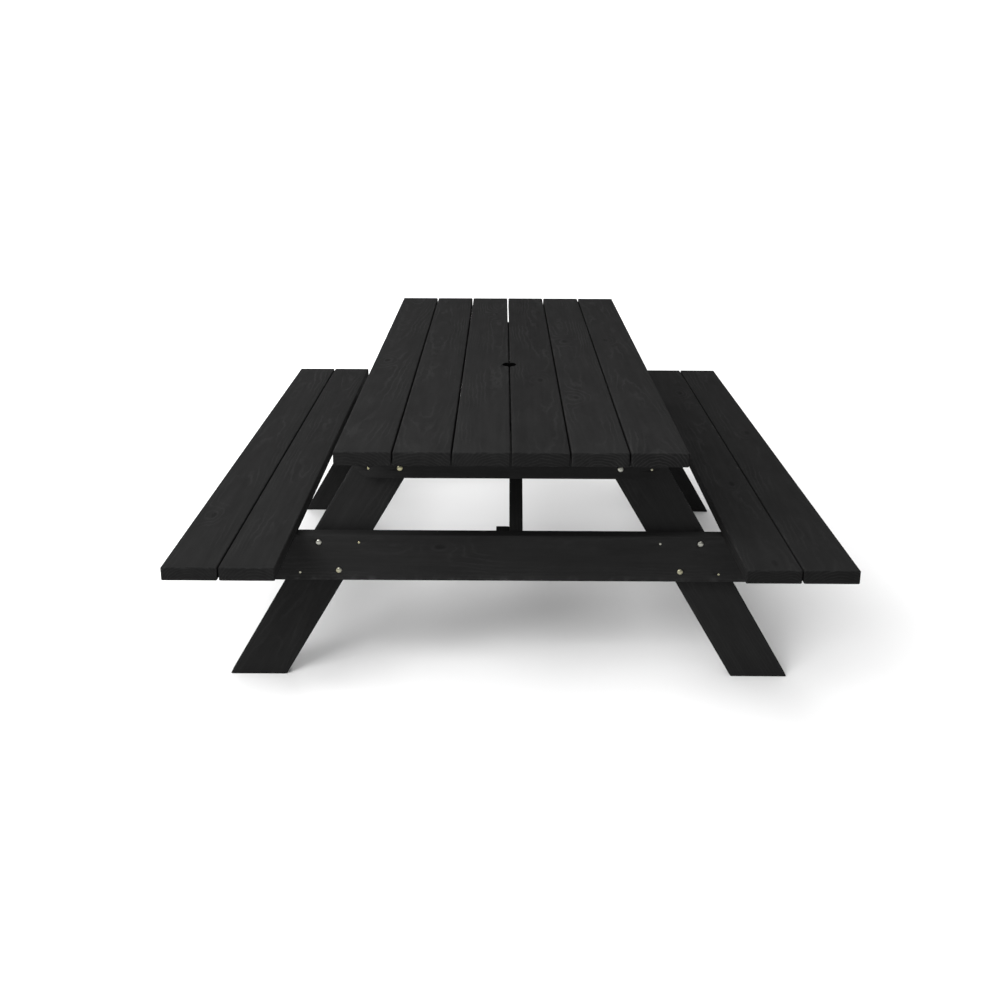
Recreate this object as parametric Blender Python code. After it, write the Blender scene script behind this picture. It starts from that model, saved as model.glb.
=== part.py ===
"""Picnic table with two attached benches, made of black-stained boards bolted into two A-shaped ends.

X runs across the table from bench to bench, Y runs along the boards and Z is up.
The origin is on the ground, under the middle of the table. The near end is at -Y.
"""
import math
from collections import namedtuple

import bmesh
import bpy
from mathutils import Matrix, Vector

# Boards: one size of lumber for everything but the seat beams, the braces and their blocks.
BOARD_WIDTH = 0.140
BOARD_THICK = 0.037
NARROW_WIDTH = 0.089
BOARD_LENGTH = 1.829
BOARD_GAP = 0.004
ARRIS = 0.005
FIT = 0.0003
SHARP_ANGLE = math.radians(50)

# Whole table.
TOP_HEIGHT = 0.796
SEAT_HEIGHT = 0.490
TOP_BOARDS = 6
SEAT_OUTER_X = 0.869
FRAME_FACE_Y = 0.641

# Legs: the outer edge meets the ground at FOOT_OUTER_X and leans inwards by LEG_LEAN metres per metre.
FOOT_OUTER_X = 0.802
LEG_LEAN = 0.58

# Cross pieces and their clipped lower corners.
SEAT_BEAM_HALF = 0.825
SEAT_BEAM_WIDTH = 0.137
SEAT_BEAM_CLIP = (0.148, 0.105)
END_CLEAT_CLIP = (0.040, 0.040)
CENTRE_CLEAT_HALF = 0.410

# Umbrella hole, off the middle so that a pole clears the centre cleat.
HOLE_RADIUS = 0.022
HOLE_Y = -0.118
HOLE_DEPTH = 0.111
HOLE_SIDES = 24

# Braces rise at 45 degrees from the seat beams, each with one side on the middle plane.
BRACE_FOOT_Z = 0.322
BLOCK_FOOT_Z = 0.328
BLOCK_HEIGHT = 0.120

# Carriage bolts, flanged nuts and nails.
BOLT_RADIUS = 0.003
BOLT_HEAD_RADIUS = 0.0083
BOLT_HEAD_HEIGHT = 0.0038
BOLT_STICK_OUT = 0.004
DOME_STEPS = 3
FLANGE_RADIUS = 0.0071
FLANGE_THICK = 0.0014
NUT_CORNER_RADIUS = 0.0057
NUT_HEIGHT = 0.006
NAIL_RADIUS = 0.0016
NAIL_HEAD_RADIUS = 0.0032
NAIL_FACE_RADIUS = 0.0028
NAIL_HEAD_HEIGHT = 0.0013
NAIL_LENGTH = 0.062
NAIL_POINT = 0.004
CLEARANCE = 0.0005
ROUND_SIDES = 12
NAIL_SIDES = 8

# Where a joint's bolt and nail sit: each one's height above the cross piece's lower edge, and its distance
# in from an edge of the leg. A low row has its bolt near the inner edge and its nail near the outer edge,
# and a high row has them the other way round.
Row = namedtuple("Row", "bolt_height bolt_in nail_height nail_in is_high")
BEAM_ROWS = {
    "low": Row(0.0312, 0.0335, 0.0245, 0.025, False),
    "high": Row(0.115, 0.027, 0.115, 0.024, True),
}
CLEAT_ROWS = {"low": Row(0.030, 0.034, 0.029, 0.0435, False)}

# Worked out from the sizes above.
TOP_UNDERSIDE = TOP_HEIGHT - BOARD_THICK
SEAT_UNDERSIDE = SEAT_HEIGHT - BOARD_THICK
PITCH = BOARD_WIDTH + BOARD_GAP
TOP_HALF = (TOP_BOARDS * BOARD_WIDTH + (TOP_BOARDS - 1) * BOARD_GAP) / 2
LEG_FACE_Y = FRAME_FACE_Y - BOARD_THICK
LEG_RUN = BOARD_WIDTH * math.hypot(1.0, LEG_LEAN)
SEAT_BEAM_Z = SEAT_UNDERSIDE - FIT - SEAT_BEAM_WIDTH
END_CLEAT_Z = TOP_UNDERSIDE - FIT - BOARD_WIDTH
GRIP = 2 * BOARD_THICK + FIT

WOOD = (0.020, 0.020, 0.021)
ZINC = (0.62, 0.61, 0.55)
ENDS = (("near", -1), ("far", 1))
SIDES = (("left", -1), ("right", 1))

# One ring of a turned solid; a hexagon's radius is the one to its corners.
Ring = namedtuple("Ring", "radius depth is_hexagon", defaults=(False,))

boards = {}
cuts = {}


def clear_scene():
    """Take away whatever the file already holds."""
    for item in list(bpy.data.objects):
        bpy.data.objects.remove(item, do_unlink=True)


def finish_object(name, shape):
    """Turn a bmesh into a named, smooth-shaded object with its faces pointing out."""
    bmesh.ops.recalc_face_normals(shape, faces=shape.faces)
    if shape.calc_volume(signed=True) < 0.0:
        bmesh.ops.reverse_faces(shape, faces=shape.faces)
    mesh = bpy.data.meshes.new(name)
    shape.to_mesh(mesh)
    shape.free()
    mesh.shade_smooth()
    mesh.set_sharp_from_angle(angle=SHARP_ANGLE)
    item = bpy.data.objects.new(name, mesh)
    bpy.context.scene.collection.objects.link(item)
    return item


def give_material(item, colour, roughness, metallic):
    """Give a piece its own material."""
    material = bpy.data.materials.new(item.name + "_finish")
    material.use_nodes = True
    shader = material.node_tree.nodes["Principled BSDF"]
    shader.inputs["Base Color"].default_value = (*colour, 1.0)
    shader.inputs["Roughness"].default_value = roughness
    shader.inputs["Metallic"].default_value = metallic
    item.data.materials.append(material)


def make_board(name, outline, thickness, place, arris_steps=2):
    """Extrude an outline drawn in local XY by a thickness along local Z, and round every arris."""
    shape = bmesh.new()
    base = shape.faces.new([shape.verts.new((x, y, 0.0)) for x, y in outline])
    grown = bmesh.ops.extrude_face_region(shape, geom=[base])
    moved = [part for part in grown["geom"] if isinstance(part, bmesh.types.BMVert)]
    bmesh.ops.translate(shape, verts=moved, vec=(0.0, 0.0, thickness))
    edges = list(shape.edges)
    bmesh.ops.bevel(shape, geom=edges, offset=ARRIS, segments=arris_steps, profile=0.5, affect="EDGES")
    shape.transform(place)
    item = finish_object(name, shape)
    give_material(item, WOOD, 0.6, 0.0)
    boards[name] = item
    cuts[name] = []


def make_block(name, low, high, arris_steps=2):
    """Make a board as a block between two corners."""
    size = Vector(high) - Vector(low)
    outline = [(0.0, 0.0), (size.x, 0.0), (size.x, size.y), (0.0, size.y)]
    make_board(name, outline, size.z, Matrix.Translation(low), arris_steps)


def upright(y):
    """Place an outline drawn in X and Z on the plane at y, with its thickness running to -Y."""
    return Matrix(((1, 0, 0, 0), (0, 0, -1, y), (0, 1, 0, 0), (0, 0, 0, 1)))


def lengthwise(x):
    """Place an outline drawn in Y and Z on the plane at x, with its thickness running to +X."""
    return Matrix(((0, 0, 1, x), (1, 0, 0, 0), (0, 1, 0, 0), (0, 0, 0, 1)))


def aim(start, direction):
    """Place a turned solid's local Z along a direction from a start point."""
    turn = Vector((0.0, 0.0, 1.0)).rotation_difference(Vector(direction))
    return Matrix.Translation(start) @ turn.to_matrix().to_4x4()


def ring_points(ring, sides):
    """Give the points of one ring; on a hexagon every second point is pulled in to the middle of a flat."""
    if ring.radius == 0.0:
        return [Vector((0.0, 0.0, ring.depth))]
    flat = ring.radius * math.cos(math.pi / 6) if ring.is_hexagon else ring.radius
    points = []
    for step in range(sides):
        angle = 2 * math.pi * step / sides
        reach = flat if step % 2 else ring.radius
        points.append(Vector((reach * math.cos(angle), reach * math.sin(angle), ring.depth)))
    return points


def add_turned(shape, profile, place, sides, is_tube=False):
    """Add a turned solid from its rings, which lie along local Z; a tube's last ring joins its first."""
    rings = [[shape.verts.new(place @ point) for point in ring_points(ring, sides)] for ring in profile]
    follow = rings[1:] + rings[:1] if is_tube else rings[1:]
    for first, second in zip(rings, follow):
        for step in range(sides):
            after = (step + 1) % sides
            if len(first) == 1:
                shape.faces.new((first[0], second[after], second[step]))
            elif len(second) == 1:
                shape.faces.new((first[step], first[after], second[0]))
            else:
                shape.faces.new((first[step], first[after], second[after], second[step]))


def make_turned(name, profile, place, sides, is_tube=False):
    """Make one zinc-plated turned piece."""
    shape = bmesh.new()
    add_turned(shape, profile, place, sides, is_tube)
    give_material(finish_object(name, shape), ZINC, 0.35, 1.0)


def cut_all_holes():
    """Cut each board's holes with one Boolean, from a cutter that holds them all."""
    for name, tools in cuts.items():
        if not tools:
            continue
        shape = bmesh.new()
        for profile, place, sides in tools:
            add_turned(shape, profile, place, sides)
        cutter = finish_object(name + "_cutter", shape)
        cutter.hide_render = True
        cutter.display_type = "WIRE"
        boolean = boards[name].modifiers.new("holes", "BOOLEAN")
        boolean.operation = "DIFFERENCE"
        boolean.solver = "EXACT"
        boolean.object = cutter


def leg_edge(z):
    """Give the distance of a leg's outer edge from the middle plane at height z."""
    return FOOT_OUTER_X - LEG_LEAN * z


def make_tabletop():
    """Lay the tabletop boards and notch the middle two for the umbrella pole."""
    half = BOARD_LENGTH / 2
    for index in range(TOP_BOARDS):
        left = -TOP_HALF + index * PITCH
        name = f"tabletop_board_{index + 1}"
        make_block(name, (left, -half, TOP_UNDERSIDE), (left + BOARD_WIDTH, half, TOP_HEIGHT))
    profile = [Ring(0.0, 0.0), Ring(HOLE_RADIUS, 0.0), Ring(HOLE_RADIUS, HOLE_DEPTH), Ring(0.0, HOLE_DEPTH)]
    middle = TOP_HEIGHT - BOARD_THICK / 2
    place = aim((0.0, HOLE_Y, middle - HOLE_DEPTH / 2), (0.0, 0.0, 1.0))
    for name in ("tabletop_board_3", "tabletop_board_4"):
        cuts[name].append((profile, place, HOLE_SIDES))


def make_benches():
    """Lay two boards for each bench."""
    half = BOARD_LENGTH / 2
    for label, side in SIDES:
        for which, outer in (("outer", SEAT_OUTER_X), ("inner", SEAT_OUTER_X - PITCH)):
            low, high = sorted((side * outer, side * (outer - BOARD_WIDTH)))
            name = f"bench_{label}_{which}_board"
            make_block(name, (low, -half, SEAT_UNDERSIDE), (high, half, SEAT_HEIGHT))


def clipped_outline(half, base, width, clip):
    """Draw a board on edge with its two lower corners clipped, by clip's run and rise."""
    top = base + width
    run, rise = clip
    left = [(-half, top), (-half, base + rise), (-half + run, base)]
    right = [(half - run, base), (half, base + rise), (half, top)]
    return left + right


def leg_outline(side):
    """Draw a leg on the left (-1) or right (1), with its foot and head cut level."""
    top = TOP_UNDERSIDE - FIT
    foot, head = leg_edge(0.0), leg_edge(top)
    corners = [(foot, 0.0), (head, top), (head - LEG_RUN, top), (foot - LEG_RUN, 0.0)]
    return [(side * x, z) for x, z in corners]


def make_ends():
    """Make both ends: a seat beam and an end cleat, with two legs behind them."""
    beam = clipped_outline(SEAT_BEAM_HALF, SEAT_BEAM_Z, SEAT_BEAM_WIDTH, SEAT_BEAM_CLIP)
    cleat = clipped_outline(TOP_HALF, END_CLEAT_Z, BOARD_WIDTH, END_CLEAT_CLIP)
    leg_face_y = LEG_FACE_Y - FIT
    for end, end_side in ENDS:
        cross_y = max(end_side * FRAME_FACE_Y, end_side * LEG_FACE_Y)
        leg_y = max(end_side * leg_face_y, end_side * (leg_face_y - BOARD_THICK))
        make_board(f"{end}_seat_beam", beam, BOARD_THICK, upright(cross_y))
        make_board(f"{end}_end_cleat", cleat, BOARD_THICK, upright(cross_y))
        for label, side in SIDES:
            make_board(f"{end}_{label}_leg", leg_outline(side), BOARD_THICK, upright(leg_y))


def make_centre_cleat():
    """Lay one flat cleat under the middle of the tabletop."""
    top = TOP_UNDERSIDE - FIT
    low = (-CENTRE_CLEAT_HALF, -BOARD_WIDTH / 2, top - BOARD_THICK)
    high = (CENTRE_CLEAT_HALF, BOARD_WIDTH / 2, top)
    make_block("centre_cleat", low, high, 1)


def make_braces():
    """Make the two braces and the small block beside each brace's foot."""
    drop = NARROW_WIDTH * math.sqrt(2.0)
    foot_y, top = LEG_FACE_Y - FIT, TOP_UNDERSIDE - FIT
    head_y = foot_y - (top - BRACE_FOOT_Z)
    for end, side in ENDS:
        corners = [(foot_y, BRACE_FOOT_Z), (foot_y, BRACE_FOOT_Z + drop)]
        corners += [(head_y + drop, top), (head_y, top)]
        outline = [(side * y, z) for y, z in corners]
        make_board(f"{end}_brace", outline, BOARD_THICK, lengthwise(0.0), 1)
        low_y, high_y = sorted((side * foot_y, side * (foot_y - BOARD_THICK)))
        low = (-FIT - BOARD_THICK, low_y, BLOCK_FOOT_Z)
        make_block(f"{end}_brace_block", low, (-FIT, high_y, BLOCK_FOOT_Z + BLOCK_HEIGHT), 1)


def dome(radius, rise):
    """Give the rings of a low dome that rises towards -Z from its rim."""
    rings = []
    for step in range(DOME_STEPS):
        angle = math.pi / 2 * step / DOME_STEPS
        rings.append(Ring(radius * math.sin(angle), -rise * math.cos(angle)))
    return rings


def make_bolt(name, place, pierced):
    """Fit a domed carriage bolt and a flanged nut, and cut the bolt's hole in the boards it joins."""
    nut_start = GRIP + FIT
    shoulder, nut_end = nut_start + FLANGE_THICK, nut_start + NUT_HEIGHT
    tip = nut_end + BOLT_STICK_OUT
    head = dome(BOLT_HEAD_RADIUS, BOLT_HEAD_HEIGHT) + [Ring(BOLT_HEAD_RADIUS, -FIT)]
    shank = [Ring(BOLT_RADIUS, -FIT), Ring(BOLT_RADIUS, tip), Ring(0.0, tip)]
    make_turned(name, head + shank, place, ROUND_SIDES)
    bore, rim_end = BOLT_RADIUS + CLEARANCE, nut_start + FLANGE_THICK / 2
    flange = [Ring(bore, nut_start), Ring(FLANGE_RADIUS, nut_start), Ring(FLANGE_RADIUS, rim_end)]
    hexagon = [Ring(NUT_CORNER_RADIUS, shoulder, True), Ring(NUT_CORNER_RADIUS, nut_end, True)]
    nut = flange + hexagon + [Ring(bore, nut_end)]
    make_turned(name.replace("bolt", "nut"), nut, place, ROUND_SIDES, is_tube=True)
    hole = [Ring(0.0, -GRIP), Ring(bore, -GRIP), Ring(bore, 2 * GRIP), Ring(0.0, 2 * GRIP)]
    for board in pierced:
        cuts[board].append((hole, place, ROUND_SIDES))


def make_nail(name, place, pierced):
    """Drive a nail through a cross piece and into the leg, with its own small hole."""
    neck, face = NAIL_LENGTH - NAIL_POINT, -NAIL_HEAD_HEIGHT
    head = [Ring(0.0, face), Ring(NAIL_FACE_RADIUS, face), Ring(NAIL_HEAD_RADIUS, -FIT)]
    shank = [Ring(NAIL_RADIUS, -FIT), Ring(NAIL_RADIUS, neck), Ring(0.0, NAIL_LENGTH)]
    make_turned(name, head + shank, place, NAIL_SIDES)
    bore, end = NAIL_RADIUS + CLEARANCE, NAIL_LENGTH + 2 * CLEARANCE
    hole = [Ring(0.0, -BOARD_THICK), Ring(bore, -BOARD_THICK), Ring(bore, neck), Ring(0.0, end)]
    for board in pierced:
        cuts[board].append((hole, place, NAIL_SIDES))


def across_leg(height, distance, is_outer):
    """Give the distance from the middle plane of a point that lies in from one edge of a leg."""
    outer = leg_edge(height)
    return outer - distance if is_outer else outer - LEG_RUN + distance


def fasten_joint(end, end_side, label, side, cross, base, row_name, row):
    """Fit one bolt and one nail where a leg meets a cross piece."""
    bolt_z, nail_z = base + row.bolt_height, base + row.nail_height
    bolt_x = across_leg(bolt_z, row.bolt_in, row.is_high)
    nail_x = across_leg(nail_z, row.nail_in, not row.is_high)
    pierced = (f"{end}_{cross}", f"{end}_{label}_leg")
    name = f"{end}_{label}_{cross}_{row_name}"
    face_y, inwards = end_side * FRAME_FACE_Y, (0.0, -end_side, 0.0)
    make_bolt(name + "_bolt", aim((side * bolt_x, face_y, bolt_z), inwards), pierced)
    make_nail(name + "_nail", aim((side * nail_x, face_y, nail_z), inwards), pierced)


def fasten_legs():
    """Bolt and nail every leg to its seat beam in two rows and to its end cleat in one."""
    for end, end_side in ENDS:
        for label, side in SIDES:
            for row_name, row in BEAM_ROWS.items():
                fasten_joint(end, end_side, label, side, "seat_beam", SEAT_BEAM_Z, row_name, row)
            for row_name, row in CLEAT_ROWS.items():
                fasten_joint(end, end_side, label, side, "end_cleat", END_CLEAT_Z, row_name, row)


clear_scene()
make_tabletop()
make_benches()
make_ends()
make_centre_cleat()
make_braces()
fasten_legs()
cut_all_holes()
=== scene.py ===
"""The looks of a picnic table: black-stained boards with real grain, and zinc-plated bolts, nuts and nails.

Every board is made again from its CAD node, with finer arrises, slight wear and its own place in a log.
Lengths are in metres. X runs across the table, Y along the boards, and Z is up.
"""
import math
import random

import bmesh
import bpy
import numpy as np
from mathutils import Matrix, Vector, noise


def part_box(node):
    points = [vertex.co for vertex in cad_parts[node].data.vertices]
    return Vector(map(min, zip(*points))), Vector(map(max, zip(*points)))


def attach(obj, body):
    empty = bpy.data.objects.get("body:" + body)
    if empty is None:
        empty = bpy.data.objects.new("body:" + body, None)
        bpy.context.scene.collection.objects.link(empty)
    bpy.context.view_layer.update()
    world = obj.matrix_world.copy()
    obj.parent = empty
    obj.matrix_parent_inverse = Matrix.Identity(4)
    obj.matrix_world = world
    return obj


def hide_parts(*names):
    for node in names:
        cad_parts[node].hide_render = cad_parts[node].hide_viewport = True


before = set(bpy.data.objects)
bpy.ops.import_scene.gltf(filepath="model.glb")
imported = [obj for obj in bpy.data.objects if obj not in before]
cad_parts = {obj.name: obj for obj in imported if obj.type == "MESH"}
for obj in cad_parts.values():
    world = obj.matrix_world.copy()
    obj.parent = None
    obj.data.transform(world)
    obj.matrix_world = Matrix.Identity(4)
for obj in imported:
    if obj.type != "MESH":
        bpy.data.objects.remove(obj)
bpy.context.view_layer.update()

# Reading the CAD: its arris, how close points are that count as one or as level, how flat a corner is that
# counts as straight, and how far from the table's middle the umbrella hole may be.
CAD_ARRIS = 0.005
CAD_DIGITS = 5
LEVEL = 1e-4
STRAIGHT = 1e-6
HOLE_SEARCH = 0.4

# Arrises. Every board is rounded along its grain. A flat board's ends are rounded too, and the other boards'
# ends are sawn nearly sharp.
ARRIS = 0.0040
ARRIS_STEPS = 6
SAWN_ARRIS = 0.0012
SAWN_STEPS = 2
SHARP_ANGLE = math.radians(40)

# Cuts across a board, which give wear its points. The outermost ones lie just inside the arrises.
LENGTH_STEP = 0.045
WIDTH_STEP = 0.019
SUPPORT = 0.0012

# Wear: how far each kind of surface goes in, the share of it that goes sideways, and its swings to a metre.
ARRIS_WEAR = 0.0004
TOP_WEAR = 0.0002
SIDE_WEAR = 0.0001
SIDEWAYS_WEAR = 0.02
WEAR_ACROSS = 9.0
WEAR_ALONG = 6.0
WEAR_SEEDS = 100.0

# How much of a direction lies along an axis before it counts as running along it.
MOSTLY = 0.5
NEARLY = 0.999
FULLY = 0.9999

# A board's place in its log. The pith lies some way below the board, and to the side by up to a share of half
# its width. The log leans along the board, sideways and in depth, and the board comes from anywhere along it.
PITH_SIDEWAYS = 0.6
PITH_DEPTHS = (0.03, 0.10)
LEAN_SIDEWAYS = 0.02
LEANS_IN_DEPTH = (0.012, 0.035)
LOG_LENGTH = 40.0

# How much each thing lightens the stain. End grain is dark, with its rings a little lighter.
BASE_LIGHTNESS = 0.40
LINE_LIFT = 0.25
FIBRE_LIFT = 0.35
STREAK_LIFT = 0.30
BLOTCH_LIFT = 0.45
TONE_LIFT = 0.06
KNOT_LIFT = -0.30
END_LIFT = -0.38
END_RING_LIFT = 0.30

# Holes for fasteners.
BOLT_HOLE = 0.0034
NAIL_HOLE = 0.0020
HOLE_SIDES = 32

# Bolts. The head's rise and its back edge are shares of its radius, and its dome turns almost to upright.
BOLT_SIDES = 40
HEAD_RISE = 0.52
HEAD_RIM = 0.0004
HEAD_BACK = 0.97
DOME_TURN = math.pi / 2 * 0.96
DOME_RINGS = 9
THREAD_LENGTH = 0.022
THREAD_PITCH = 0.0010
THREAD_DEPTH = 0.0006
THREAD_STEPS = 88
TIP_CHAMFER = 0.0012

# Nuts. The free face's width is a share of the width across the flats.
NUT_SIDES = 48
NUT_FLATS = 0.0098
NUT_FACE = 0.93
NUT_CHAMFER = 0.0012
CHAMFER_STEPS = 4
NUT_BORE = 0.0032
BORE_CHAMFER = 0.0002
FLANGE_RISE = 0.0026

# Nails. The shank is a share of the head's radius. Its taper starts at one distance from the tip, and it has
# half its radius at another.
NAIL_SIDES = 28
NAIL_SHANK = 0.5
NAIL_HEAD = 0.0012
NAIL_TAPER = 0.004
NAIL_POINT = 0.0015

# Points this close in a made mesh are one.
SAME_POINT = 1e-6

# Camera, at the height and angle of a standing viewer a few paces from the near end.
CAMERA_PLACE = (-0.0238, -3.2271, 1.6540)
CAMERA_YAW = math.radians(-0.110)
CAMERA_PITCH = math.radians(14.017)
CAMERA_ROLL = math.radians(-0.261)
CAMERA_LENS = 36.724
CAMERA_SHIFT = -0.1607

# Backdrop: how far the floor reaches along and to each side, the radius of its bend, the wall's height, and
# how far under the feet the floor lies.
FLOOR_REACH = 9.0
FLOOR_SIDE = 14.4
FLOOR_BEND = 3.0
BEND_STEPS = 16
WALL_HEIGHT = 7.0
FLOOR_DROP = 0.0002


class Shader:
    """One material's node tree, with short calls to add to it."""

    def __init__(self, name):
        self.material = bpy.data.materials.new(name)
        self.material.use_nodes = True
        self.tree = self.material.node_tree
        self.principled = self.tree.nodes["Principled BSDF"]

    def put(self, socket, value):
        """Link a socket to another node's output, or set it to a plain value."""
        if isinstance(value, bpy.types.NodeSocket):
            self.tree.links.new(value, socket)
        else:
            socket.default_value = value

    def node(self, kind, inputs=None, **settings):
        """Add a node with its settings, and fill the inputs that are named or numbered."""
        made = self.tree.nodes.new("ShaderNode" + kind)
        for key, value in settings.items():
            setattr(made, key, value)
        for key, value in (inputs or {}).items():
            self.put(made.inputs[key], value)
        return made

    def attribute(self, name, output="Fac"):
        """Read an attribute of the mesh."""
        return self.node("Attribute", attribute_name=name).outputs[output]

    def math(self, operation, *values):
        """Work out one number from others."""
        return self.node("Math", dict(enumerate(values)), operation=operation).outputs[0]

    def share(self, value, amount):
        """Multiply two numbers."""
        return self.math("MULTIPLY", value, amount)

    def swing(self, value, amount):
        """Turn a number from 0 to 1 into a swing to either side of nothing."""
        return self.share(self.math("SUBTRACT", value, 0.5), amount)

    def total(self, *values):
        """Add several numbers."""
        result = values[0]
        for value in values[1:]:
            result = self.math("ADD", result, value)
        return result

    def stretch(self, vector, scale):
        """Scale a vector by an amount along each axis."""
        return self.node("VectorMath", {0: vector, 1: scale}, operation="MULTIPLY").outputs[0]

    def noise(self, vector, scale, detail=2.0, roughness=0.5):
        """Give smooth noise from 0 to 1 around a half."""
        inputs = {"Vector": vector, "Scale": scale, "Detail": detail, "Roughness": roughness}
        return self.node("TexNoise", inputs).outputs["Fac"]

    def fibrous(self, grain, across, along, detail=2.0, roughness=0.5):
        """Give noise drawn out along the grain, with so many swings to a metre across it and along it."""
        return self.noise(self.stretch(grain, (across, along, across)), 1.0, detail, roughness)

    def ramp(self, value, from_low, from_high, to_low=0.0, to_high=1.0):
        """Ease a number from one range into another."""
        inputs = {"Value": value, "From Min": from_low, "From Max": from_high}
        inputs.update({"To Min": to_low, "To Max": to_high})
        return self.node("MapRange", inputs, interpolation_type="SMOOTHSTEP").outputs["Result"]

    def mix(self, factor, first, second):
        """Mix two colours."""
        made = self.node("Mix", {0: factor}, data_type="RGBA")
        self.put(made.inputs[6], first)
        self.put(made.inputs[7], second)
        return made.outputs[2]

    def relief(self, strength, distance, height):
        """Give the surface a relief."""
        return self.node("Bump", {"Strength": strength, "Distance": distance, "Height": height}).outputs[0]

    def finish(self, **inputs):
        """Fill the shader's own inputs and give the material."""
        for key, value in inputs.items():
            self.put(self.principled.inputs[key.replace("_", " ")], value)
        return self.material


def grey(level):
    """Give a neutral colour."""
    return (level, level, level, 1.0)


def wood_eyes(shader, grain):
    """Find the eyes where branches grew, as ovals along the grain, and the knot in the middle of each."""
    spacing, rarity = (6.0, 2.6, 0.0), 0.84
    eye_edge, knot_core, knot_edge = 0.30, 0.025, 0.06
    inputs = {"Vector": shader.stretch(grain, spacing), "Scale": 1.0, "Randomness": 1.0}
    cells = shader.node("TexVoronoi", inputs, voronoi_dimensions="2D")
    reach = cells.outputs["Distance"]
    chance = shader.node("SeparateColor", {0: cells.outputs["Color"]}).outputs[0]
    is_grown = shader.math("GREATER_THAN", chance, rarity)
    eye = shader.share(shader.ramp(reach, 0.0, eye_edge, to_low=1.0, to_high=0.0), is_grown)
    knot = shader.share(shader.ramp(reach, knot_core, knot_edge, to_low=1.0, to_high=0.0), is_grown)
    return eye, knot


def wood_rings(shader, grain, eye):
    """Give the late wood of the growth rings: they lie round the pith, and noise and eyes sway them."""
    ring, sway, jitter, bulge, sharpness = 0.0075, 0.055, 0.015, 0.024, 5.0
    place = shader.node("SeparateXYZ", {0: grain}).outputs
    flat = shader.node("CombineXYZ", {0: place[0], 1: place[2]}).outputs[0]
    radius = shader.node("VectorMath", {0: flat}, operation="LENGTH").outputs["Value"]
    slow = shader.swing(shader.fibrous(grain, across=2.6, along=0.9), sway)
    quick = shader.swing(shader.fibrous(grain, across=30.0, along=9.0, detail=3.0, roughness=0.6), jitter)
    count = shader.math("DIVIDE", shader.total(radius, slow, quick, shader.share(eye, bulge)), ring)
    wave = shader.math("SINE", shader.share(count, math.tau))
    return shader.math("POWER", shader.math("MULTIPLY_ADD", wave, 0.5, 0.5), sharpness)


def wood_lightness(shader, grain, late, line, knot, fibre, streak):
    """Say how light the stain dries: rings and fibres, uneven soaking, each board's tone, knots and ends."""
    blotch = shader.fibrous(grain, across=26.0, along=7.0, detail=3.0, roughness=0.6)
    end = shader.math("MULTIPLY_ADD", late, END_RING_LIFT, END_LIFT)
    return shader.total(
        shader.share(line, LINE_LIFT),
        shader.swing(fibre, FIBRE_LIFT),
        shader.swing(streak, STREAK_LIFT),
        shader.swing(blotch, BLOTCH_LIFT),
        shader.share(shader.attribute("tone"), TONE_LIFT),
        shader.share(shader.attribute("end_grain"), end),
        shader.share(knot, KNOT_LIFT),
        BASE_LIGHTNESS,
    )


def wood_colour(shader, grain, lightness):
    """Give the stain's colour: painted shade in the holes, and patches along the arrises that are partly
    rubbed pale and partly painted highlight.
    """
    dark, light, painted_hole_shade, worn_highlight_colour = grey(0.0080), grey(0.0205), grey(0.0006), grey(0.034)
    surface = shader.mix(lightness, dark, light)
    # The hole walls are painted near-black: painted shade for the unlit inside of the holes.
    stain = shader.mix(shader.attribute("bore"), surface, painted_hole_shade)
    patch = shader.noise(grain, scale=38.0, detail=4.0, roughness=0.65)
    # Pale patches along the arrises: partly rubbed wear, partly a painted highlight where the rounded edges
    # catch the light.
    worn_highlight_share = shader.ramp(patch, from_low=0.42, from_high=0.72, to_high=0.55)
    return shader.mix(shader.share(shader.attribute("arris"), worn_highlight_share), stain, worn_highlight_colour)


def stained_wood():
    """Softwood under black stain: growth rings round a pith, eyes, fibres, worn arrises with painted
    highlights along them, and painted shade in the holes.
    """
    shader = Shader("black_stained_wood")
    grain = shader.attribute("grain", "Vector")
    eye, knot = wood_eyes(shader, grain)
    late = wood_rings(shader, grain, eye)
    presence = shader.fibrous(grain, across=13.0, along=3.9)
    line = shader.share(late, shader.ramp(presence, from_low=0.40, from_high=0.66, to_low=0.05))
    fibre = shader.fibrous(grain, across=300.0, along=9.0, detail=4.0, roughness=0.6)
    streak = shader.fibrous(grain, across=70.0, along=1.6)
    lightness = wood_lightness(shader, grain, late, line, knot, fibre, streak)
    colour = wood_colour(shader, grain, lightness)
    matt = shader.total(fibre, shader.share(line, -0.4))
    roughness = shader.ramp(matt, from_low=0.2, from_high=0.8, to_low=0.62, to_high=0.82)
    height = shader.total(shader.share(line, 0.45), shader.share(fibre, 0.50), shader.share(streak, 0.35))
    relief = shader.relief(strength=0.45, distance=0.0007, height=height)
    shader.principled.inputs["Specular IOR Level"].default_value = 0.002
    return shader.finish(Base_Color=colour, Roughness=roughness, Normal=relief)


def zinc():
    """Zinc plating with a faint yellow passivation, finely brushed and dulled in patches."""
    clear, yellow, dull = (0.30, 0.30, 0.27, 1.0), (0.31, 0.29, 0.17, 1.0), (0.11, 0.11, 0.09, 1.0)
    shader = Shader("zinc_plating")
    place = shader.node("NewGeometry").outputs["Position"]
    patch = shader.noise(place, scale=420.0, detail=3.0, roughness=0.6)
    tint = shader.ramp(shader.noise(place, scale=9.0, detail=1.0), from_low=0.38, from_high=0.62)
    plating = shader.mix(tint, clear, yellow)
    colour = shader.mix(shader.ramp(patch, from_low=0.35, from_high=0.75, to_high=0.60), plating, dull)
    roughness = shader.ramp(patch, from_low=0.3, from_high=0.8, to_low=0.24, to_high=0.48)
    relief = shader.relief(strength=0.25, distance=0.0001, height=shader.noise(place, scale=2600.0))
    shader.principled.inputs["Metallic"].default_value = 1.0
    return shader.finish(Base_Color=colour, Roughness=roughness, Normal=relief)


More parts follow.
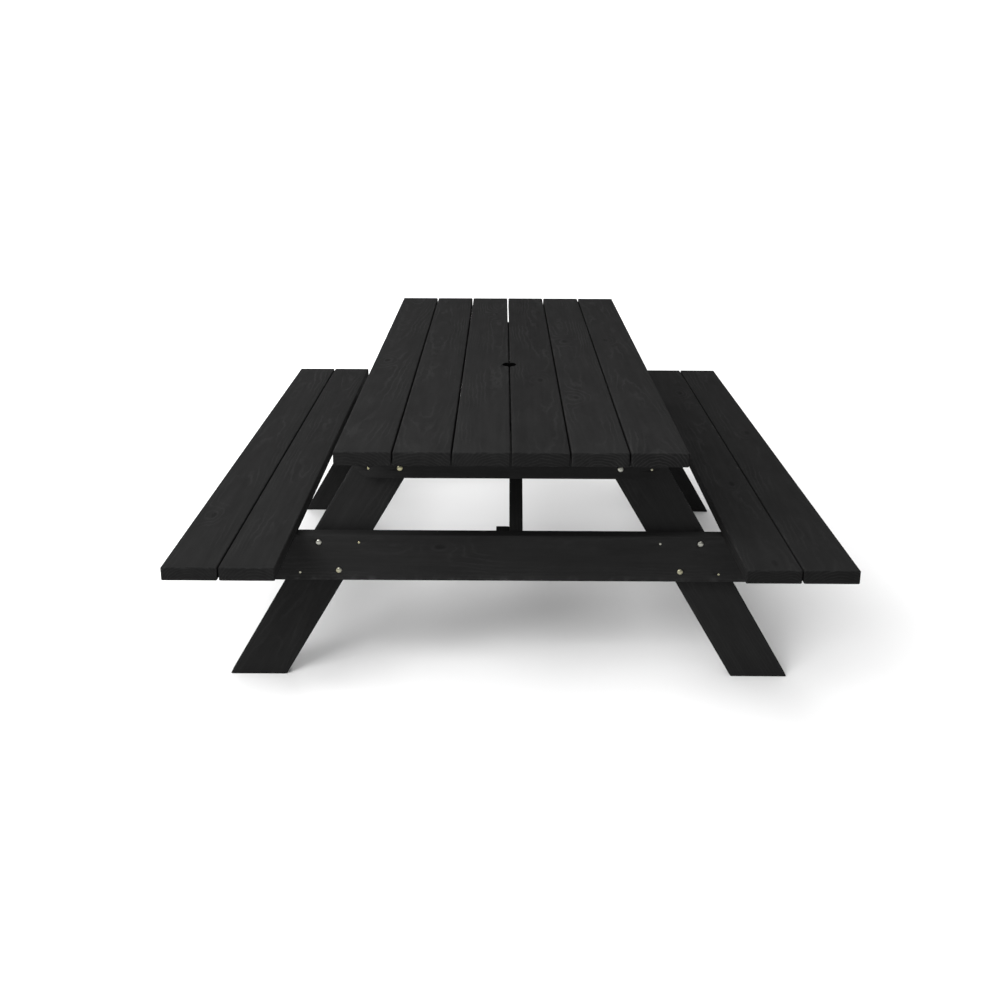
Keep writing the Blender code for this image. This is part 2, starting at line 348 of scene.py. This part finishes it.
def backdrop_paint():
    """Plain pale paint for the floor and the sweep behind it."""
    shader = Shader("backdrop_paint")
    place = shader.node("NewGeometry").outputs["Position"]
    colour = shader.mix(shader.noise(place, scale=0.6, detail=1.0), grey(0.86), grey(0.88))
    return shader.finish(Base_Color=colour, Roughness=0.9)


def mesh_points(mesh):
    """Give all the points of a mesh, as rows of X, Y and Z."""
    points = np.empty(len(mesh.vertices) * 3, np.float32)
    mesh.vertices.foreach_get("co", points)
    return points.reshape(-1, 3)


def node_points(node):
    """Give all the points of a CAD node."""
    return mesh_points(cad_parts[node].data)


def middle_of(node):
    """Give the middle of a CAD node's box."""
    low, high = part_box(node)
    return (low + high) / 2


def in_turn(corners):
    """List each corner of a closed outline with the ones before and after it."""
    return list(zip(corners[-1:] + corners[:-1], corners, corners[1:] + corners[:1]))


def wrap(points):
    """Give the corners of the convex outline round flat points, anticlockwise."""
    ordered = sorted(points, key=lambda point: (point.x, point.y))
    corners = []
    for run in (ordered, ordered[::-1]):
        chain = []
        for point in run:
            while len(chain) > 1 and (chain[-1] - chain[-2]).cross(point - chain[-1]) <= 0.0:
                chain.pop()
            chain.append(point)
        corners += chain[:-1]
    return corners


def drop_straight(corners):
    """Leave out corners that lie on a straight edge."""
    return [corner for before, corner, after in in_turn(corners)
            if abs((corner - before).cross(after - corner)) > STRAIGHT]


def in_order(outline):
    """Give an outline anticlockwise."""
    area = sum(corner.cross(after) for _, corner, after in in_turn(outline))
    return outline if area > 0.0 else outline[::-1]


def grow(outline, amount):
    """Move every edge of an anticlockwise outline outwards."""
    grown = []
    for before, corner, after in in_turn(outline):
        first, second = (corner - before).normalized(), (after - corner).normalized()
        out_first, out_second = Vector((first.y, -first.x)), Vector((second.y, -second.x))
        share = amount / (1.0 + out_first.dot(out_second))
        grown.append(corner + (out_first + out_second) * share)
    return grown


def longest_edge(corners):
    """Give the direction of an outline's longest edge."""
    edges = [after - corner for _, corner, after in in_turn(corners)]
    longest = max(edges, key=lambda edge: edge.length).normalized()
    return -longest if longest.dot(Vector((1.0, 1.0))) < 0.0 else longest


def board_plan(node, across):
    """Read a board's outline, thickness and place from its CAD node.

    across is the axis of its thickness, 0 to 2. The outline is the sharp one, before rounding. It is in the
    board's own frame, where Y runs along the grain and Z through the thickness, from the board's middle.
    """
    points = node_points(node)
    bottom, top = points[:, across].min(), points[:, across].max()
    flat = [axis for axis in range(3) if axis != across]
    on_top = points[top - points[:, across] < LEVEL][:, flat]
    face = np.unique(np.round(on_top, CAD_DIGITS), axis=0)
    corners = drop_straight(wrap([Vector(point) for point in face.tolist()]))

    grain, depth, middle = Vector((0.0, 0.0, 0.0)), Vector((0.0, 0.0, 0.0)), Vector((0.0, 0.0, 0.0))
    grain[flat[0]], grain[flat[1]] = longest_edge(corners)
    depth[across] = 1.0
    middle[flat[0]], middle[flat[1]] = sum(corners, Vector((0.0, 0.0))) / len(corners)
    middle[across] = float(bottom + top) / 2
    turn = Matrix((grain.cross(depth), grain, depth)).transposed().to_4x4()
    place = Matrix.Translation(middle) @ turn

    outline = []
    for corner in corners:
        spot = middle.copy()
        spot[flat[0]], spot[flat[1]] = corner
        outline.append((place.inverted() @ spot).to_2d())
    return grow(in_order(outline), CAD_ARRIS), float(top - bottom), place


def raise_board(outline, thickness):
    """Make a sharp-edged board from its outline, with its middle at the origin."""
    shape = bmesh.new()
    base = shape.faces.new([shape.verts.new((corner.x, corner.y, -thickness / 2)) for corner in outline])
    grown = bmesh.ops.extrude_face_region(shape, geom=[base])
    lifted = [part for part in grown["geom"] if isinstance(part, bmesh.types.BMVert)]
    bmesh.ops.translate(shape, verts=lifted, vec=(0.0, 0.0, thickness))
    bmesh.ops.recalc_face_normals(shape, faces=shape.faces)
    return shape


def round_edges(shape, end_arris, end_steps):
    """Round the edges along the grain, then the edges of the ends by their own amount."""
    along = [edge for edge in shape.edges
             if abs((edge.verts[1].co - edge.verts[0].co).normalized().y) > FULLY]
    bmesh.ops.bevel(shape, geom=along, offset=ARRIS, segments=ARRIS_STEPS, profile=0.5, affect="EDGES")
    ends = [edge for edge in shape.edges if edge.is_manifold and edge.calc_face_angle() > SHARP_ANGLE]
    bmesh.ops.bevel(shape, geom=ends, offset=end_arris, segments=end_steps, profile=0.5, affect="EDGES")


def slice_up(shape, outline, axis, step):
    """Cut the mesh across an axis at even steps, with a closer cut beside each end's arris."""
    low, high = min(corner[axis] for corner in outline), max(corner[axis] for corner in outline)
    count = max(1, round((high - low) / step))
    spots = [low + (high - low) * index / count for index in range(1, count)]
    spots += [low + ARRIS + SUPPORT, high - ARRIS - SUPPORT]
    normal = Vector((0.0, 0.0, 0.0))
    normal[axis] = 1.0
    for spot in spots:
        whole = shape.verts[:] + shape.edges[:] + shape.faces[:]
        bmesh.ops.bisect_plane(shape, geom=whole, dist=SAME_POINT, plane_co=normal * spot, plane_no=normal)


def wear(shape, seed):
    """Rub the arrises down unevenly and leave the faces slightly uneven, always inwards.

    Hardly anything moves sideways, so the gaps between boards stay as narrow as they are in the frame.
    """
    shape.normal_update()
    for point in shape.verts:
        x, y, z = point.co
        swing = noise.noise(Vector((x * WEAR_ACROSS, y * WEAR_ALONG, z * WEAR_ACROSS + seed)))
        across, along, up = (abs(part) for part in point.normal)
        if up > NEARLY:
            reach = TOP_WEAR
        elif max(across, along) > NEARLY:
            reach = SIDE_WEAR
        else:
            reach = ARRIS_WEAR
        push = point.normal * (0.5 + 0.5 * swing) * reach
        push.x *= SIDEWAYS_WEAR
        point.co -= push


def new_object(name, shape):
    """Turn a bmesh into a smooth-shaded object."""
    mesh = bpy.data.meshes.new(name)
    shape.to_mesh(mesh)
    shape.free()
    mesh.shade_smooth()
    mesh.set_sharp_from_angle(angle=SHARP_ANGLE)
    made = bpy.data.objects.new(name, mesh)
    bpy.context.scene.collection.objects.link(made)
    return made


def stand_in(piece, node, material):
    """Give a piece its material, and put it in place of its CAD node."""
    piece.data.materials.clear()
    piece.data.materials.append(material)
    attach(piece, "root")
    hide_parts(node)


def hole_cutter(spots, low, high, radius):
    """Make one closed round cutter for each spot, from low to high along local Z."""
    shape = bmesh.new()
    for x, y in spots:
        place = Matrix.Translation((x, y, (low + high) / 2))
        bmesh.ops.create_cone(shape, cap_ends=True, segments=HOLE_SIDES, radius1=radius, radius2=radius,
                              depth=high - low, matrix=place)
    return shape


def cut(piece, cutter):
    """Take a cutter's shape out of a piece for good."""
    boolean = piece.modifiers.new("cut", "BOOLEAN")
    boolean.operation = "DIFFERENCE"
    boolean.solver = "EXACT"
    boolean.object = cutter
    graph = bpy.context.evaluated_depsgraph_get()
    whole = bpy.data.meshes.new_from_object(piece.evaluated_get(graph))
    piece.modifiers.clear()
    old = piece.data
    piece.data = whole
    bpy.data.meshes.remove(old)
    bpy.data.objects.remove(cutter, do_unlink=True)


def drill(piece, holes, place, thickness):
    """Cut holes, listed as (radius, points) in the table's frame, and list them again in the board's own."""
    to_local = place.inverted()
    local_holes = [(radius, [(to_local @ Vector(spot)).to_2d() for spot in spots]) for radius, spots in holes]
    for radius, spots in local_holes:
        cut(piece, new_object("cutter", hole_cutter(spots, -thickness, thickness, radius)))
    return local_holes


def set_attribute(mesh, name, values, kind="FLOAT", domain="POINT"):
    """Store one value for each point or face of a mesh."""
    layer = mesh.attributes.new(name, kind, domain)
    field = "vector" if kind == "FLOAT_VECTOR" else "value"
    layer.data.foreach_set(field, np.asarray(values, np.float32).ravel())


def mark_bores(mesh, holes):
    """Mark the faces of the holes' walls, which are painted near-black as shade. holes lists (radius,
    points).
    """
    centres = np.array([face.center for face in mesh.polygons])
    upright = np.array([abs(face.normal.z) < MOSTLY for face in mesh.polygons])
    is_bore = np.zeros(len(centres), bool)
    for radius, spots in holes:
        for spot in spots:
            is_bore |= upright & (np.hypot(centres[:, 0] - spot.x, centres[:, 1] - spot.y) < radius)
    set_attribute(mesh, "bore", is_bore, domain="FACE")


def mark_ends(mesh, half_sizes):
    """Mark a board's end grain, and how close each of its points is to an arris."""
    inwards = np.array(half_sizes) - np.abs(mesh_points(mesh))
    from_arris = np.sort(inwards, axis=1)[:, 1]
    set_attribute(mesh, "arris", np.clip(1.0 - from_arris / ARRIS, 0.0, 1.0))
    set_attribute(mesh, "end_grain", [abs(face.normal.y) > MOSTLY for face in mesh.polygons], domain="FACE")


def give_grain(mesh, half_width, draw):
    """Place a board in its log, and give it a tone of its own."""
    points = mesh_points(mesh)
    pith_x = draw.uniform(-PITH_SIDEWAYS, PITH_SIDEWAYS) * half_width
    pith_z = -draw.uniform(*PITH_DEPTHS)
    lean_x = draw.uniform(-LEAN_SIDEWAYS, LEAN_SIDEWAYS)
    lean_z = draw.choice((-1, 1)) * draw.uniform(*LEANS_IN_DEPTH)
    log = points - np.array([pith_x, 0.0, pith_z])
    log[:, 0] += lean_x * points[:, 1]
    log[:, 2] += lean_z * points[:, 1]
    log[:, 1] += draw.uniform(0.0, LOG_LENGTH)
    set_attribute(mesh, "grain", log, kind="FLOAT_VECTOR")
    set_attribute(mesh, "tone", np.full(len(points), draw.uniform(-1.0, 1.0)))


def make_board(node, across, material, holes=()):
    """Make a board again from its CAD node, with fine arrises, holes and a place in its log.

    across is the axis of its thickness, and holes lists (radius, points) in the table's own frame.
    """
    draw = random.Random(node)
    outline, thickness, place = board_plan(node, across)
    half_width = (max(corner.x for corner in outline) - min(corner.x for corner in outline)) / 2
    half_length = (max(corner.y for corner in outline) - min(corner.y for corner in outline)) / 2
    shape = raise_board(outline, thickness)
    if across == 2:
        round_edges(shape, ARRIS, ARRIS_STEPS)
    else:
        round_edges(shape, SAWN_ARRIS, SAWN_STEPS)
    slice_up(shape, outline, 0, WIDTH_STEP)
    slice_up(shape, outline, 1, LENGTH_STEP)
    wear(shape, draw.uniform(0.0, WEAR_SEEDS))
    piece = new_object(node + "_wood", shape)
    local_holes = drill(piece, holes, place, thickness)
    mark_bores(piece.data, local_holes)
    mark_ends(piece.data, (half_width, half_length, thickness / 2))
    give_grain(piece.data, half_width, draw)
    piece.data.transform(place)
    stand_in(piece, node, material)


def fastener_holes(board):
    """List the holes that bolts and nails need in a leg or a cross piece, by the words their names share."""
    end, rest = board.split("_", 1)
    own = rest.replace("_leg", "")
    matching = [node for node in sorted(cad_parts) if node.startswith(end) and own in node]
    bolts = [middle_of(node) for node in matching if node.endswith("_bolt")]
    nails = [middle_of(node) for node in matching if node.endswith("_nail")]
    return [(BOLT_HOLE, bolts), (NAIL_HOLE, nails)]


def umbrella_hole():
    """Find the umbrella hole's radius and middle from the notch in one of the two boards beside it."""
    notched = node_points("tabletop_board_4")
    side = notched[:, 0].min()
    top = notched[:, 2].max()
    is_inside = (notched[:, 2] < top - CAD_ARRIS) & (notched[:, 0] > side + CAD_ARRIS)
    wall = notched[is_inside & (np.abs(notched[:, 1]) < HOLE_SEARCH)]
    centre_y = (wall[:, 1].min() + wall[:, 1].max()) / 2
    return float(wall[:, 0].max()), Vector((0.0, float(centre_y), 0.0))


def make_all_boards(material):
    """Make every board of the table."""
    radius, spot = umbrella_hole()
    for node in sorted(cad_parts):
        if node in ("tabletop_board_3", "tabletop_board_4"):
            make_board(node, 2, material, [(radius, [spot])])
        elif node.startswith(("tabletop", "bench", "centre")):
            make_board(node, 2, material)
        elif node.endswith(("_leg", "_seat_beam", "_end_cleat")):
            make_board(node, 1, material, fastener_holes(node))
        elif node.endswith(("_brace", "_brace_block")):
            make_board(node, 0, material)


def ring_points(shape, radius, depth, sides, twist):
    """Add one ring of points round local Z, or a single point where the radius is nothing."""
    if radius == 0.0:
        return [shape.verts.new((0.0, 0.0, depth))]
    points = []
    for step in range(sides):
        angle = math.tau * step / sides
        reach = radius if twist is None else twist(radius, depth, angle)
        points.append(shape.verts.new((reach * math.cos(angle), reach * math.sin(angle), depth)))
    return points


def turned(rings, sides, twist=None):
    """Make a closed turned solid from (radius, depth) rings along local Z.

    twist gives another radius for each point, from the ring's radius and depth and the point's angle.
    """
    shape = bmesh.new()
    loops = [ring_points(shape, radius, depth, sides, twist) for radius, depth in rings]
    for first, second in zip(loops, loops[1:]):
        for step in range(sides):
            after = (step + 1) % sides
            corners = [first[step % len(first)], first[after % len(first)]]
            corners += [second[after % len(second)], second[step % len(second)]]
            unique = list(dict.fromkeys(corners))
            if len(unique) > 2:
                shape.faces.new(unique)
    bmesh.ops.recalc_face_normals(shape, faces=shape.faces)
    return shape


def fastener_plan(node):
    """Read a fastener's place, length and widest radius from its CAD node.

    Its local Z runs inwards from its outer face, from whichever end of the table it is driven.
    """
    low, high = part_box(node)
    middle = (low + high) / 2
    inwards = 1.0 if middle.y < 0.0 else -1.0
    outer = low.y if inwards > 0.0 else high.y
    turn = Matrix(((1, 0, 0), (0, 0, inwards), (0, -inwards, 0))).to_4x4()
    place = Matrix.Translation((middle.x, outer, middle.z)) @ turn
    return place, high.y - low.y, (high.x - low.x) / 2


def fit_fastener(node, shape, place, material):
    """Put a fastener in place of its CAD node."""
    shape.transform(place)
    stand_in(new_object(node + "_zinc", shape), node, material)


def rod_radius(node):
    """Read a bolt's shank radius from its CAD node's inner end."""
    points = node_points(node)
    middle = middle_of(node)
    end = points[:, 1].max() if middle.y < 0.0 else points[:, 1].min()
    tip = points[np.abs(points[:, 1] - end) < LEVEL]
    return float(np.hypot(tip[:, 0] - middle.x, tip[:, 2] - middle.z).max())


def make_bolt(node, material):
    """A carriage bolt: a low domed head, a smooth shank and a threaded end."""
    place, length, head = fastener_plan(node)
    shank = rod_radius(node)
    rise = head * HEAD_RISE
    thread_start = length - THREAD_LENGTH
    thread_step = (THREAD_LENGTH - TIP_CHAMFER) / THREAD_STEPS
    turns = np.linspace(0.0, DOME_TURN, DOME_RINGS)
    rings = [(head * math.sin(turn), rise - rise * math.cos(turn)) for turn in turns]
    rings += [(head, rise - HEAD_RIM), (head * HEAD_BACK, rise), (shank, rise)]
    rings += [(shank, thread_start + thread_step * step) for step in range(THREAD_STEPS + 1)]
    rings += [(shank - THREAD_DEPTH, length), (0.0, length)]

    def thread(radius, depth, angle):
        if depth <= thread_start or radius != shank:
            return radius
        turn = (depth / THREAD_PITCH - angle / math.tau) % 1.0
        return radius - THREAD_DEPTH * abs(2.0 * turn - 1.0)

    fit_fastener(node, turned(rings, BOLT_SIDES, thread), place, material)


def make_nut(node, material):
    """A hexagon nut on its own round flange, with chamfered corners."""
    place, length, flange = fastener_plan(node)
    half = NUT_FLATS / 2
    corner = half / math.cos(math.pi / 6)
    flange_shape = ((0.86, 0.0018), (0.98, 0.0010), (1.0, 0.0003), (0.98, 0.0))

    def hexagon(radius, depth, angle):
        if radius != corner:
            return radius
        within = (angle + math.pi / 6) % (math.pi / 3) - math.pi / 6
        reach = half / math.cos(within)
        near_end = max(0.0, NUT_CHAMFER - depth) / NUT_CHAMFER
        return min(reach, corner - (corner - half) * near_end)

    rings = [(NUT_BORE, BORE_CHAMFER), (half * NUT_FACE, 0.0)]
    rings += [(corner, NUT_CHAMFER * step / CHAMFER_STEPS) for step in range(CHAMFER_STEPS + 1)]
    rings.append((corner, length - FLANGE_RISE))
    rings += [(flange * share, length - height) for share, height in flange_shape]
    rings += [(NUT_BORE, length), (NUT_BORE, BORE_CHAMFER)]
    shape = turned(rings, NUT_SIDES, hexagon)
    bmesh.ops.remove_doubles(shape, verts=shape.verts, dist=SAME_POINT)
    fit_fastener(node, shape, turn_round(place, length), material)


def turn_round(place, length):
    """Turn a fastener's place round, so that its local Z runs from its free face back to the wood."""
    return place @ Matrix.Translation((0.0, 0.0, length)) @ Matrix.Rotation(math.pi, 4, "X")


def make_nail(node, material):
    """A wire nail with a slightly domed head."""
    place, length, head = fastener_plan(node)
    shank = head * NAIL_SHANK
    head_shape = ((0.0, 0.0), (0.35, 0.0001), (0.7, 0.0002), (0.9, 0.0004), (1.0, 0.0007), (0.98, 0.0010))
    rings = [(head * share, depth) for share, depth in head_shape]
    rings += [(shank, NAIL_HEAD), (shank, length - NAIL_TAPER)]
    rings += [(shank / 2, length - NAIL_POINT), (0.0, length)]
    fit_fastener(node, turned(rings, NAIL_SIDES), place, material)


def make_all_fasteners(material):
    """Make every bolt, nut and nail."""
    for node in sorted(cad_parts):
        if node.endswith("_bolt"):
            make_bolt(node, material)
        elif node.endswith("_nut"):
            make_nut(node, material)
        elif node.endswith("_nail"):
            make_nail(node, material)


def make_backdrop():
    """A pale floor that sweeps up into a wall well behind the table."""
    start = FLOOR_REACH - FLOOR_BEND
    profile = [(-FLOOR_REACH, 0.0), (start, 0.0)]
    for step in range(1, BEND_STEPS + 1):
        angle = math.pi / 2 * step / BEND_STEPS
        profile.append((start + FLOOR_BEND * math.sin(angle), FLOOR_BEND - FLOOR_BEND * math.cos(angle)))
    profile.append((FLOOR_REACH, WALL_HEIGHT))
    shape = bmesh.new()
    left = [shape.verts.new((-FLOOR_SIDE, y, z - FLOOR_DROP)) for y, z in profile]
    right = [shape.verts.new((FLOOR_SIDE, y, z - FLOOR_DROP)) for y, z in profile]
    for index in range(len(profile) - 1):
        shape.faces.new((left[index], right[index], right[index + 1], left[index + 1]))
    floor = new_object("backdrop", shape)
    floor.data.materials.append(backdrop_paint())


def add_softbox(name, place, size, watts, target=(0.0, 0.0, 0.4)):
    """Add a square area light that points at the table's middle or at another target."""
    light = bpy.data.lights.new(name, "AREA")
    light.shape = "SQUARE"
    light.size = size
    light.energy = watts
    item = bpy.data.objects.new(name, light)
    item.location = place
    item.visible_camera = False
    item.rotation_euler = (Vector(target) - Vector(place)).to_track_quat("-Z", "Y").to_euler()
    bpy.context.scene.collection.objects.link(item)


def light_scene():
    """Soft light from above and from the left, in an even pale room with its wall lit from both sides."""
    add_softbox("key_softbox", place=(-2.4, -3.1, 3.6), size=2.4, watts=236.0)
    add_softbox("top_softbox", place=(0.0, -1.1, 5.0), size=4.0, watts=126.0)
    add_softbox("back_softbox", place=(-2.2, 4.2, 1.8), size=2.0, watts=80.0)
    for name, x in (("left_backdrop_softbox", -3.2), ("right_backdrop_softbox", 3.2)):
        add_softbox(name, place=(x, 3.6, 5.2), size=4.0, watts=170.0, target=(x, 9.0, 1.6))
    world = bpy.data.worlds.new("pale_room")
    world.use_nodes = True
    background = world.node_tree.nodes["Background"]
    background.inputs["Color"].default_value = grey(1.0)
    background.inputs["Strength"].default_value = 0.65
    bpy.context.scene.world = world
    bpy.context.scene.view_settings.view_transform = "Standard"


def add_camera():
    """Place the camera: it looks along +Y, down by its pitch."""
    pitch, yaw, roll = CAMERA_PITCH, CAMERA_YAW, CAMERA_ROLL
    forward = Vector((math.sin(yaw) * math.cos(pitch), math.cos(yaw) * math.cos(pitch), -math.sin(pitch)))
    level = Vector((math.cos(yaw), -math.sin(yaw), 0.0))
    down = forward.cross(level)
    right = level * math.cos(roll) + down * math.sin(roll)
    up = level * math.sin(roll) - down * math.cos(roll)
    camera = bpy.data.cameras.new("camera")
    camera.lens = CAMERA_LENS
    camera.shift_y = CAMERA_SHIFT
    item = bpy.data.objects.new("camera", camera)
    turn = Matrix((right, up, -forward)).transposed().to_4x4()
    item.matrix_world = Matrix.Translation(CAMERA_PLACE) @ turn
    bpy.context.scene.collection.objects.link(item)
    bpy.context.scene.camera = item


add_camera()
make_all_boards(stained_wood())
make_all_fasteners(zinc())
make_backdrop()
light_scene()

bpy.context.view_layer.update()
